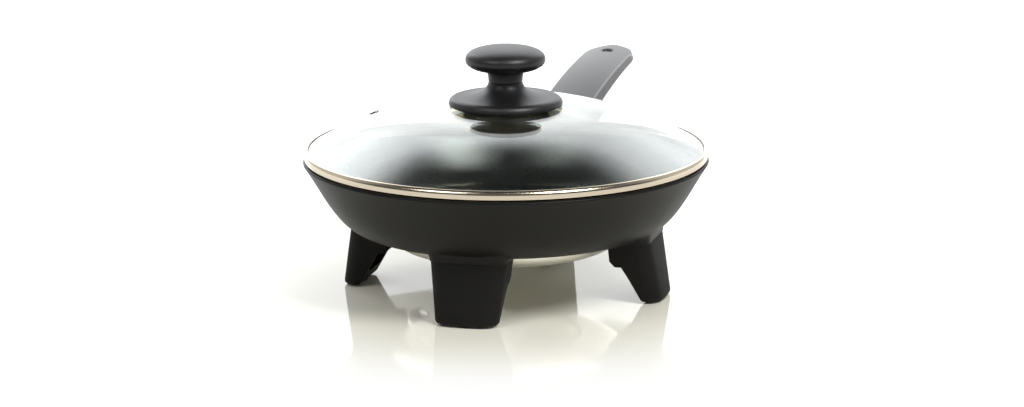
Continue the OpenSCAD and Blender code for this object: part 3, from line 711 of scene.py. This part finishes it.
def moulded_grey(place):
    skin = place.noise(1500, 3.0, 0.6)
    flow = place.noise(16, 3.0)
    # Towards the grip end the base colour is lighter, which is painted sheen, and the roughness is
    # lower, as from real polish by hands.
    grip_polish_and_painted_sheen = place.axis("Y").between(0.15, 0.25)
    # The pale line painted along both top creases of the grip is a painted highlight.
    across = place.math("ABSOLUTE", place.axis("X"))
    from_edge = place.math("ABSOLUTE", across - 0.01445)
    painted_crease_highlight = (1 - from_edge.between(0.0002, 0.0005)) * (0.6 + 0.4 * flow)
    body = (flow * 0.6 + grip_polish_and_painted_sheen * 0.4).blend(grey(0.022), grey(0.044))
    return {
        "Base Color": painted_crease_highlight.blend(body, grey(0.22)),
        "Roughness": 0.41 + skin * 0.10 - grip_polish_and_painted_sheen * 0.11,
        "Specular IOR Level": 0.72,
        "Normal": (skin + flow * 0.1).bump(0.25, 0.00008),
    }


grey_phenolic = finish("grey_phenolic", moulded_grey)
ROOT_Y, TIP_Y, ROOT_Z, TIP_Z = LUG_END_Y, 264.5, 78.5, 92.5
GRIP_CROWN, GRIP_LEAN, GRIP_END = 2.2, 1.4, 24
ROOT_SIDE, TIP_SIDE = 7.0, 3.5
ROOT_DEEP, TIP_DEEP = 18.0, 8.5
GRIP_STEPS = 72
EYE_R, EYE_DISH, EYE_TOP_Z = 3.1, 3.6, 92.29
SCREW_IN, SCREW_UP = 14, -14


def handle_point(turn, share):
    """Surface point of the handle: turn goes round the section, share from root to tip."""
    y = ROOT_Y + (TIP_Y - 0.2 - ROOT_Y) * (1 - max(0.0, 1 - share) ** 1.7)
    t = (y - ROOT_Y) / (TIP_Y - ROOT_Y)
    end = max(0.0, (y - TIP_Y + GRIP_END) / GRIP_END)
    k = max(max(0.0, 1 - end ** 3) ** (1 / 3), 0.06)
    half, crown, lean = GRIP_HALF * k, GRIP_CROWN * k, GRIP_LEAN * k
    side = (ROOT_SIDE + (TIP_SIDE - ROOT_SIDE) * t) * k
    deep = (ROOT_DEEP + (TIP_DEEP - ROOT_DEEP) * t) * (0.45 + 0.55 * k)
    belly = deep - crown - side
    top = TIP_Z - (TIP_Z - ROOT_Z) * (1 - t) ** 2
    edge = math.pi / 8
    if edge <= turn <= math.pi - edge:
        s = 1 - 2 * (turn - edge) / (math.pi - 2 * edge)
        return Vector((half * s, y, top - crown * s * s))
    if edge - math.pi < turn < -edge:
        a = (-turn - edge) / (math.pi - 2 * edge) * math.pi
        return Vector(((half + lean) * math.cos(a), y, top - crown - side - belly * math.sin(a)))
    right = abs(turn) < math.pi / 2
    lift = (turn if right else math.copysign(math.pi, turn) - turn) / edge
    down = (1 - lift) / 2
    x = half + lean * down
    return Vector((x if right else -x, y, top - crown - side * down))


grip = bmesh.new()
bmesh.ops.create_circle(grip, segments=64, radius=1, matrix=Matrix.Rotation(math.pi / 2, 4, "X"))
bmesh.ops.spin(grip, geom=grip.verts[:] + grip.edges[:], cent=(0, 0, 0), axis=(0, 1, 0),
               dvec=(0, 1 / GRIP_STEPS, 0), angle=0, steps=GRIP_STEPS)
for v in grip.verts:
    v.co = handle_point(math.atan2(v.co.z, v.co.x), v.co.y)
creases = [e for e in grip.edges
           if e.is_manifold and span(e, Y) > 0.01 and e.calc_face_angle(0) > 0.5
           and all(v.co.y < TIP_Y - 1.5 for v in e.verts)]
bmesh.ops.holes_fill(grip, edges=[e for e in grip.edges if e.is_boundary])
soften(grip, creases, 0.9, 4)
eye = bmesh.new()
dish = arc((EYE_R + EYE_DISH, EYE_TOP_Z - 2.0), (-EYE_DISH, 2.2), 0, 15, 7)
turned(eye, [(0, 75), (EYE_R, 75)] + dish + [(EYE_R + EYE_DISH, 103), (0, 103)], steps=40)
shifted(eye, 0, TIP_Y - 17.5, 0)
grip = carved(grip, eye)
tilt = math.atan(2 * (TIP_Z - ROOT_Z) / (TIP_Y - ROOT_Y))
to_root = Matrix.Translation((0, ROOT_Y, ROOT_Z)) @ Matrix.Rotation(tilt, 4, "X")
screw_way = drill(SCREW_WAY_R, -26, SCREW_UP - 0.2, 32)
bmesh.ops.transform(screw_way, matrix=to_root @ Matrix.Translation((0, SCREW_IN, 0)),
                    verts=screw_way.verts)
grip = carved(grip, screw_way)
put(grip, "handle_grip", "skillet", "handle_phenolic", ["handle"], grey_phenolic)

grip_screw = pan_head_screw(head_r=4.0, head_h=2.6, shank_r=2.2, length=7.5)
bmesh.ops.transform(grip_screw, matrix=to_root @ Matrix.Translation((0, SCREW_IN, SCREW_UP)),
                    verts=grip_screw.verts)
put(grip_screw, "handle_screw_below", "skillet", "bright_steel", ["handle_screw"], plated_steel)

# The lid's glass: clear glass, sagged hot over a mould to a low crown, a soft shoulder and straight
# sloping sides, then tempered. It is bored in the middle for the knob's screw and on the shoulder
# for the steam vent.

GLASS_R, EDGE_Z, GLASS_T, BORE_R = 113.5, 81.5, 3.2, 5
SHOULDER_R, SHOULDER_SOFT, SIDE_SLOPE = 62.0, 12.5, math.tan(math.radians(26.6))
GLASS_STEPS = 44
VENT_RHO, VENT_AZ, VENT_BORE_R = 82.5, math.radians(171), 2.7


def dome_fall(r):
    return SIDE_SLOPE * SHOULDER_SOFT * math.log(1 + math.exp((r - SHOULDER_R) / SHOULDER_SOFT))


def dome_z(r):
    """Height of the glass's upper face at one radius."""
    return EDGE_Z + dome_fall(GLASS_R) - dome_fall(r)


def clear_glass(place):
    film = place.noise(30, 3.0)
    return {
        "Base Color": (0.95, 1.0, 0.965, 1),
        "Roughness": film.between(0.55, 0.9) * 0.03,
        "IOR": 1.5,
        "Transmission Weight": 1.0,
        "Specular IOR Level": 0.5,
    }


tempered_glass = finish("clear_tempered_glass", clear_glass)
glass = bmesh.new()
radii = [BORE_R + (GLASS_R - BORE_R) * i / GLASS_STEPS for i in range(GLASS_STEPS + 1)]
above = [(r, dome_z(r)) for r in radii]
below = [(r, dome_z(r) - GLASS_T) for r in reversed(radii)]
turned(glass, above + below, closed=True, steps=180)
soften(glass, hoops(glass, *above[-1]) + hoops(glass, *below[0]), 0.8, 3)
vent_slope = math.atan(SIDE_SLOPE / (1 + math.exp((SHOULDER_R - VENT_RHO) / SHOULDER_SOFT)))
to_vent = (Matrix.Rotation(VENT_AZ, 4, "Z") @ Matrix.Translation((VENT_RHO, 0, dome_z(VENT_RHO)))
           @ Matrix.Rotation(vent_slope, 4, "Y"))
vent_way = drill(VENT_BORE_R, -9, 6, 32)
bmesh.ops.transform(vent_way, matrix=to_vent, verts=vent_way.verts)
glass = carved(glass, vent_way)
put(glass, "glass_dome", "lid", "lid_glass", ["lid_glass"], tempered_glass)

# The rim: a stainless band rolled round the edge of the glass, polished along its length. It laps
# over the glass above, closes under it, and turns down into the skirt that stands on the ledge.


def polished_band(place):
    height = place.axis("Z")
    lines = height.lines(5200.0, 3.0, 0.6)
    clouds = place.noise(26, 3.0)
    # The thin dark ring at the roll's inner edge, where the band meets the glass, is painted shadow.
    painted_seam_shadow = (1 - place.radius().between(0.1122, 0.1126)) * height.between(0.0815, 0.0819)
    steel = clouds.blend((0.65, 0.565, 0.43, 1), (0.70, 0.62, 0.485, 1))
    return {
        "Base Color": painted_seam_shadow.blend(steel, (0.16, 0.14, 0.11, 1)),
        "Metallic": 1.0,
        "Roughness": 0.13 + lines * 0.10 + clouds * 0.06,
        "Normal": lines.bump(0.10, 0.00006),
    }


stainless_band = finish("polished_stainless", polished_band)
BAND_R, BAND_Z, ROLL_Z, ROLL = 114.4, 77.6, 80.0, 2.7
SKIRT_R, SKIRT_IN_R = 110.6, 109.9
band = bmesh.new()
roll = arc((BAND_R - ROLL, ROLL_Z), (ROLL, ROLL), 0, 8, 11)
lap = [(r, dome_z(r) + gap) for r, gap in ((112.12, 0.3), (112.1, 0.04), (113.0, 0.05))]
grasp = [(113.6, 81.6), (113.7, 81.3), (113.7, 78.3), (SKIRT_R, 78.3)]
stand = [(SKIRT_R, SEAT_Z), (SKIRT_IN_R, SEAT_Z), (SKIRT_IN_R, 77.1), (110.4, BAND_Z)]
turned(band, [(BAND_R, BAND_Z)] + roll + lap + grasp + stand, closed=True, steps=180)
soften(band, hoops(band, BAND_R, BAND_Z), 0.45, 3)
put(band, "rolled_band", "lid", "rim_steel", ["lid_rim"], stainless_band)

# The steam vent: a plated steel eyelet in the shoulder of the glass. It is pressed through its hole
# and rolled over on both sides, which holds it.

eyelet = bmesh.new()
turned(eyelet, [(1.8, -3.4), (1.8, 0.5), (2.1, 0.95), (2.8, 1.05), (3.5, 0.85), (3.95, 0.45),
                (3.9, 0.22), (2.6, 0.22), (2.5, 0), (2.5, -3.05), (3.6, -3.1), (3.5, -3.45),
                (2.7, -3.6)], closed=True, steps=40)
bmesh.ops.transform(eyelet, matrix=to_vent, verts=eyelet.verts)
put(eyelet, "vent_eyelet", "lid", "rim_steel", ["steam_vent"], plated_steel)

# The knob: a mushroom cap and a flared skirt of satin black phenolic that meet at a seam in the
# neck. A screw from below draws both down on the glass, over a rubber disc and a washer, into a
# brass insert in the cap.


def satin_black(place):
    skin = place.noise(1900, 3.0, 0.6)
    flow = place.noise(30, 3.0)
    sweep = place.noise(5, 1.0)
    return {
        "Base Color": (flow * 0.6 + skin * 0.4).blend(grey(0.003, 0.04), grey(0.007, 0.04)),
        "Roughness": 0.37 + skin * 0.10 + sweep * 0.04,
        "Specular IOR Level": 0.62,
        "Normal": (skin + flow * 0.1).bump(0.18, 0.00006),
    }


def soft_gasket(place):
    skin = place.noise(1600, 3.0)
    return {
        "Base Color": skin.blend(grey(0.02), grey(0.035)),
        "Roughness": 0.6 + skin * 0.2,
        "Normal": skin.bump(0.25, 0.00008),
    }


def turned_brass(place):
    lines = place.noise(900, 3.0, stretch=(0.3, 0.3, 3))
    return {
        "Base Color": lines.blend((0.78, 0.60, 0.27, 1), (0.68, 0.50, 0.21, 1)),
        "Metallic": 1.0,
        "Roughness": 0.25 + lines * 0.15,
        "Normal": lines.bump(0.15, 0.00006),
    }


satin_phenolic = finish("satin_black_phenolic", satin_black)
SEAM_Z, NECK_R, SEAM_CUT = 120.65, 9.7, 0.3
CAP_Z, CAP_R, CAP_TOP, CAP_BELLY, CAP_SQUARE = 133.05, 22.7, 7.7, 5.8, 0.8
cap = bmesh.new()
fillet = arc((NECK_R + 1.7, SEAM_Z), (-1.7, 6.6), 10, 10, 8)
under = arc((11.4, CAP_Z), (11.3, CAP_BELLY), -80, 5, 17)
crown = [(CAP_R * math.cos(a) ** CAP_SQUARE, CAP_Z + CAP_TOP * math.sin(a) ** CAP_SQUARE)
         for a in (math.radians(5 * i) for i in range(1, 18))]
cap_seam = [(0, SEAM_Z), (NECK_R - SEAM_CUT, SEAM_Z), (NECK_R, SEAM_Z + SEAM_CUT)]
turned(cap, cap_seam + fillet + under + crown + [(0, CAP_Z + CAP_TOP)], steps=96)
put(cap, "mushroom_cap", "lid", "black_phenolic", ["knob_cap"], satin_phenolic)

KNOB_FOOT_R, KNOB_FOOT_ROUND, KNOB_LIP_R, KNOB_LIP_ROUND, KNOB_GAP = 31.15, 1.15, 28.55, 3.75, 0.2
DISC_R, DISC_H, RECESS_R, SCREW_BORE_R = 14, 1.2, 14.3, 2.6
DISC_Z, KNOB_Z = dome_z(BORE_R), dome_z(KNOB_FOOT_R) + KNOB_GAP
DISC_TOP, LIP_Z = DISC_Z + DISC_H, KNOB_Z + KNOB_FOOT_ROUND
skirt = bmesh.new()
skirt_foot = arc((KNOB_FOOT_R, LIP_Z), (KNOB_FOOT_ROUND, KNOB_FOOT_ROUND), -90, 15, 6)
skirt_lip = arc((KNOB_LIP_R, LIP_Z), (KNOB_LIP_ROUND, KNOB_LIP_ROUND), 0, 9, 10)
flare_h = SEAM_Z - LIP_Z - KNOB_LIP_ROUND
flare = arc((KNOB_LIP_R, SEAM_Z), (NECK_R - KNOB_LIP_R, -flare_h), 90, -5, 18)
skirt_seam = [(NECK_R, SEAM_Z - SEAM_CUT), (NECK_R - SEAM_CUT, SEAM_Z), (SCREW_BORE_R, SEAM_Z)]
recess = [(SCREW_BORE_R, DISC_TOP), (RECESS_R, DISC_TOP), (RECESS_R, dome_z(0) + KNOB_GAP)]
turned(skirt, recess[2:] + skirt_foot + skirt_lip + flare + skirt_seam + recess[:2],
       closed=True, steps=96)
put(skirt, "flared_skirt", "lid", "black_phenolic", ["knob_base"], satin_phenolic)

disc = bmesh.new()
turned(disc, [(SCREW_BORE_R, DISC_Z), (DISC_R - 0.2, DISC_Z), (DISC_R, DISC_Z + 0.2),
              (DISC_R, DISC_TOP), (SCREW_BORE_R, DISC_TOP)], closed=True, steps=64)
soft_rubber = finish("soft_rubber_disc", soft_gasket)
put(disc, "knob_disc", "lid", "black_rubber", ["knob_gasket"], soft_rubber)

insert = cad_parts["knob_insert"]
insert.data.materials.clear()
insert.data.materials.append(finish("turned_brass", turned_brass))

WASHER_R, WASHER_T = 9, 1.2
WASHER_Z = dome_z(WASHER_R) - GLASS_T - WASHER_T
washer = bmesh.new()
washer_top = WASHER_Z + WASHER_T - 0.01
turned(washer, [(SCREW_BORE_R, WASHER_Z), (8.6, WASHER_Z), (WASHER_R, WASHER_Z + 0.3),
                (WASHER_R, WASHER_Z + 0.9), (8.7, washer_top), (SCREW_BORE_R, washer_top)],
       closed=True, steps=48)
put(washer, "dished_washer", "lid", "bright_steel", ["knob_washer"], plated_steel)

bolt_length = SEAM_Z + 10 - WASHER_Z
knob_bolt = pan_head_screw(head_r=4.5, head_h=3.0, shank_r=2.4, length=bolt_length)
shifted(knob_bolt, 0, 0, WASHER_Z)
put(knob_bolt, "knob_bolt", "lid", "bright_steel", ["knob_screw"], plated_steel)

# The stage: a glossy cream-white table top that mirrors the legs faintly, keeps the skillet's
# shadow and runs out into white; a surround that is pale behind and dark overhead and in front; and
# three soft boxes, a large one behind the skillet and two small ones in front on either side.

STAND_TURN, STAND_TILT = math.radians(14.918), math.radians(13.017)
BLACK, WHITE = (0, 0, 0, 1), (1, 1, 1, 1)
AMBIENT, TABLE_HALF, LAMP_AIM = 0.42, 6, Vector((0, 0, 0.08))


class Paths(Tone):
    """The kinds of ray that a stage material or the world can tell apart."""

    def __init__(self, tree):
        super().__init__(tree, tree.nodes.new("ShaderNodeLightPath").outputs["Is Camera Ray"])

    def kind(self, name):
        return Tone(self.tree, self.socket.node.outputs["Is %s Ray" % name])


table_mesh = bmesh.new()
bmesh.ops.create_grid(table_mesh, x_segments=1, y_segments=1, size=TABLE_HALF)
mesh = bpy.data.meshes.new("table_top")
table_mesh.to_mesh(mesh)
table_mesh.free()
table = bpy.data.objects.new("table_top", mesh)
bpy.context.scene.collection.objects.link(table)


def white_table(place):
    paths = Paths(place.tree)
    direct = paths.math("MAXIMUM", paths, paths.kind("Glossy"))
    seen = paths.math("MAXIMUM", direct, paths.kind("Transmission"))
    away = place.radius().between(0.105, 0.23) * seen
    return {
        "Base Color": away.blend((0.955, 0.935, 0.81, 1), BLACK),
        "Roughness": 0.05 + place.noise(2.0) * 0.03,
        "Specular IOR Level": 0.5,
        "Emission Color": away.blend(BLACK, WHITE),
        "Emission Strength": 1.0,
    }


table.data.materials.append(finish("glossy_white_table", white_table))

world = bpy.data.worlds.new("white_surround")
bpy.context.scene.world = world
world.use_nodes = True
world.node_tree.nodes.clear()
paths = Paths(world.node_tree)
way = paths.node("TexCoord", {}, {})
backwards = (-math.sin(STAND_TURN), math.cos(STAND_TURN), 0)
behind = way.node("VectorMath", {"operation": "DOT_PRODUCT"}, {0: way, 1: backwards}, out=1)
not_overhead = 1 - 0.95 * way.axis("Z").between(0.58, 0.88)
surround = not_overhead * (0.08 + 0.64 * behind.between(-0.20, 0.40))
mirrored = paths.math("MAXIMUM", paths.kind("Glossy"), paths.kind("Transmission"))
strength = paths + (1 - paths) * (mirrored * surround + (1 - mirrored) * AMBIENT)
backdrop = paths.node("Background", {}, {"Color": WHITE, "Strength": strength})
paths.node("OutputWorld", {}, {"Surface": backdrop})


def soft_box(name, turn, tilt, distance, width, height, watts):
    """A soft box that stands round the skillet from where the camera looks, and aims at it."""
    turn, tilt = math.radians(turn), math.radians(tilt)
    way = Vector((math.sin(turn) * math.cos(tilt), math.cos(turn) * math.cos(tilt), math.sin(tilt)))
    way.rotate(Matrix.Rotation(STAND_TURN, 3, "Z"))
    light = bpy.data.lights.new(name, "AREA")
    light.shape, light.size, light.size_y, light.energy = "RECTANGLE", width, height, watts
    lamp = bpy.data.objects.new(name, light)
    lamp.location = LAMP_AIM + way * distance
    lamp.rotation_euler = (-way).to_track_quat("-Z", "Y").to_euler()
    bpy.context.scene.collection.objects.link(lamp)
    return lamp


def fading(lamp):
    """Makes a soft box brighter to one end and at both sides, dimmer low down, and lets it fade out
    at its ends and its top."""
    lamp.data.use_nodes = True
    tree = lamp.data.node_tree
    tree.nodes.clear()
    spot = Tone(tree, tree.nodes.new("ShaderNodeNewGeometry").outputs["Parametric"])
    up = spot.axis("Y")
    aside = spot.math("ABSOLUTE", spot.axis("X") - 0.5)
    to_one_end = 0.7 + 0.6 * spot.axis("X")
    at_sides = 0.6 + 0.4 * aside.between(0.12, 0.36)
    to_ends = 1 - aside.between(0.40, 0.50)
    to_top = 1 - up.between(0.72, 1.0)
    low_down = 0.60 + 0.40 * up.between(0.28, 0.50)
    glow = to_one_end * at_sides * to_ends * to_top * low_down
    shine = spot.node("Emission", {}, {"Color": (0.94, 0.97, 1.0, 1), "Strength": glow})
    spot.node("OutputLight", {}, {"Surface": shine})


fading(soft_box("back_box", turn=0, tilt=29, distance=2.6, width=3.6, height=2.88, watts=99))
soft_box("key_box", turn=140, tilt=48, distance=1.5, width=0.55, height=0.55, watts=16)
soft_box("fill_box", turn=-136, tilt=46, distance=1.5, width=0.55, height=0.55, watts=5)

# The camera stands in front and a little to the right, low over the table, as in the photograph.
# Its place, length and shift were fitted to the outlines of the lip, the rim, the knob and the legs.

PICTURE_W, PICTURE_H, SENSOR = 1024, 407, 36.0
FOCAL_PX, AXIS_X_PX, AXIS_Y_PX = 4127.8, 506.22, 204.52
aim, distance, level = Vector((0, 0, 0.04913)), 2.347, math.radians(-0.329)
back = Vector((math.sin(STAND_TURN) * math.cos(STAND_TILT),
               -math.cos(STAND_TURN) * math.cos(STAND_TILT), math.sin(STAND_TILT)))
lens = bpy.data.cameras.new("front_view")
lens.sensor_width, lens.lens = SENSOR, FOCAL_PX * SENSOR / PICTURE_W
lens.shift_x = (PICTURE_W / 2 - AXIS_X_PX) / PICTURE_W
lens.shift_y = (AXIS_Y_PX - PICTURE_H / 2) / PICTURE_W
camera = bpy.data.objects.new("front_view", lens)
camera.location = aim + back * distance
facing_skillet = (-back).to_track_quat("-Z", "Y")
camera.rotation_euler = (facing_skillet @ Quaternion((0, 0, 1), level)).to_euler()
bpy.context.scene.collection.objects.link(camera)
bpy.context.scene.camera = camera
bpy.context.scene.view_settings.view_transform = "Standard"
